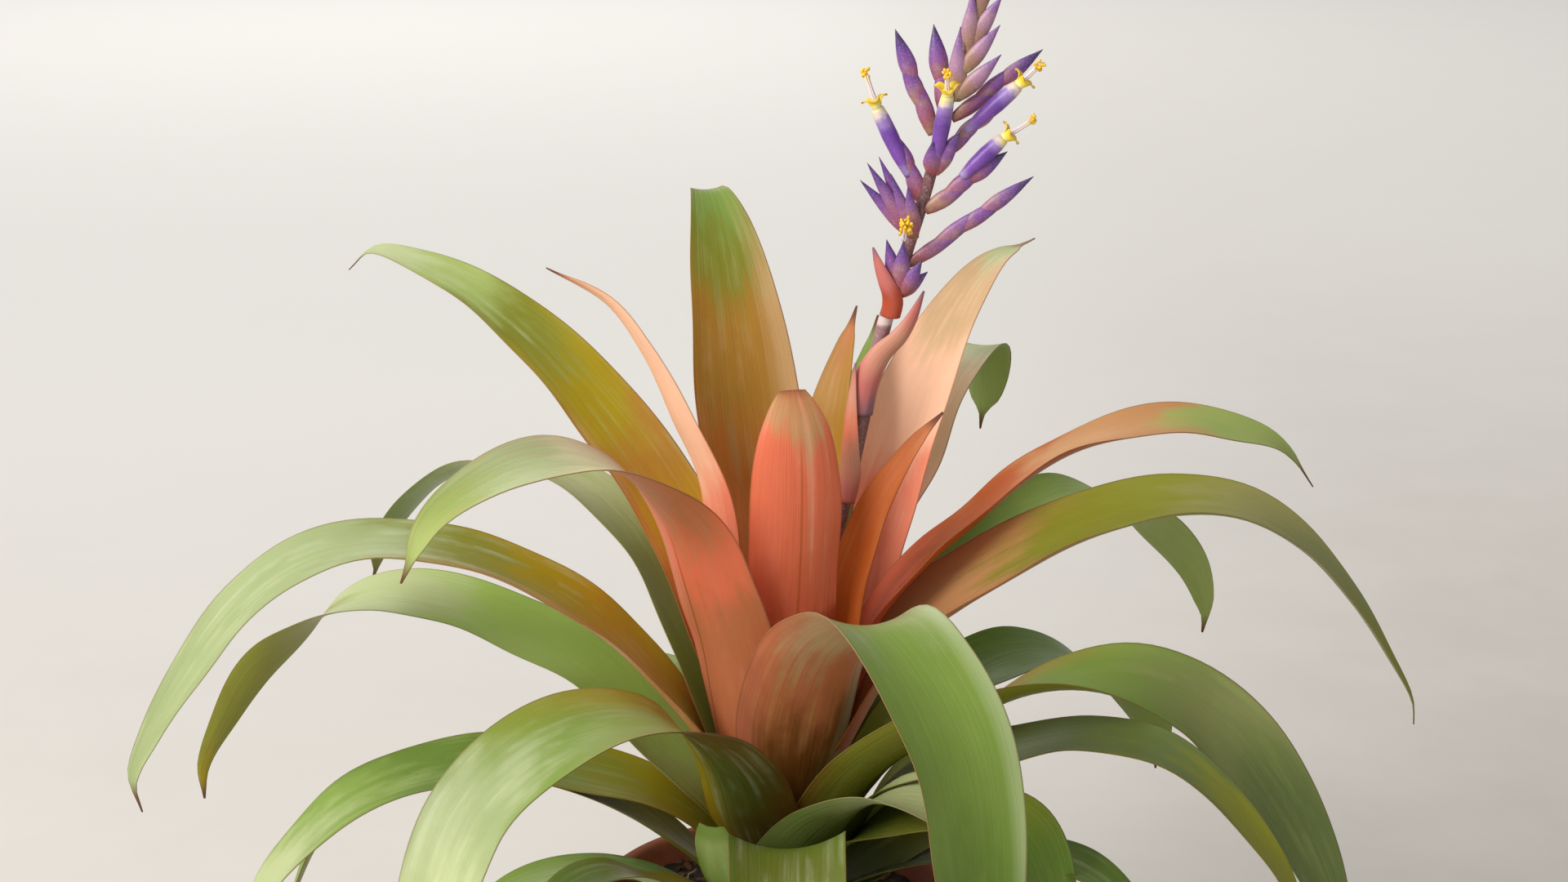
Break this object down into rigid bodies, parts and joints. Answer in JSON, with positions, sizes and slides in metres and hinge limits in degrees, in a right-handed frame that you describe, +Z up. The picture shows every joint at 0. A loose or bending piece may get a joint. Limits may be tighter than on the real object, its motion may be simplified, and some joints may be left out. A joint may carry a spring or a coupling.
{
  "type": "tillandsia maxima",
  "caption": "Flowering bromeliad in a tapered clay pot: a rosette of arching strap leaves, coral at the heart and green outside, with a leaning violet flower spike.",
  "frame": {"origin": "centre of the pot's underside, on the surface that the pot stands on", "axes": "+Z up along the pot's axis, -Y towards the front of the plant, +X towards the side that the flower stalk leans to"},
  "size_m": [0.7917, 0.5387, 0.8221],
  "materials": {
    "pot": "matte",
    "soil": "matte",
    "stem": "matte",
    "leaf_coral": "satin",
    "leaf_tan": "satin",
    "leaf_green": "satin",
    "bract": "matte",
    "spike": "matte",
    "flower": "matte"
  },
  "bodies": {
    "root": {"pot": "pot", "soil": "soil", "stem": "stem", "leaf_bud_front": "leaf_coral", "leaf_tall_back_left": "leaf_tan", "leaf_narrow_back": "leaf_coral", "leaf_back_upper": "leaf_coral", "leaf_narrow_right": "leaf_coral", "leaf_tall_right": "leaf_coral", "leaf_narrow_left": "leaf_coral", "leaf_folded_back_right": "leaf_tan", "leaf_high_left": "leaf_tan", "leaf_back_left_upper": "leaf_tan", "leaf_coral_right": "leaf_coral", "leaf_folded_front_left": "leaf_coral", "leaf_broad_front": "leaf_tan", "leaf_back_right_middle": "leaf_green", "leaf_back_left_middle": "leaf_tan", "leaf_long_right": "leaf_tan", "leaf_back_middle": "leaf_green", "leaf_back_right_low": "leaf_green", "leaf_long_left": "leaf_tan", "leaf_twisted_left": "leaf_green", "leaf_broad_left": "leaf_green", "leaf_low_right": "leaf_green", "leaf_back_low_left": "leaf_green", "leaf_back_low": "leaf_green", "leaf_front_right_behind": "leaf_green", "leaf_dark_right": "leaf_green", "leaf_low_left": "leaf_green", "leaf_under_left": "leaf_green", "leaf_lowest_right": "leaf_green", "leaf_front_arched": "leaf_green", "leaf_front_short": "leaf_green", "leaf_lowest_front_left": "leaf_green", "leaf_lowest_left": "leaf_green", "leaf_short_right": "leaf_green", "leaf_lowest_back": "leaf_green", "leaf_stub_front": "leaf_tan", "bract_pink_lower": "bract", "bract_pink_upper": "bract", "bract_coral": "bract", "spike_lowest_cluster": "spike", "spike_left_fan": "spike", "spike_left_flower": "spike", "spike_left_upper": "spike", "spike_centre_upper": "spike", "spike_front_flower": "spike", "spike_right_upper": "spike", "spike_right_flower": "spike", "spike_right_low_flower": "spike", "spike_right_lowest": "spike", "spike_top": "spike", "bloom_left": "flower", "bloom_front": "flower", "bloom_right_upper": "flower", "bloom_right_lower": "flower", "bloom_lowest": "flower"}
  },
  "joints": []
}
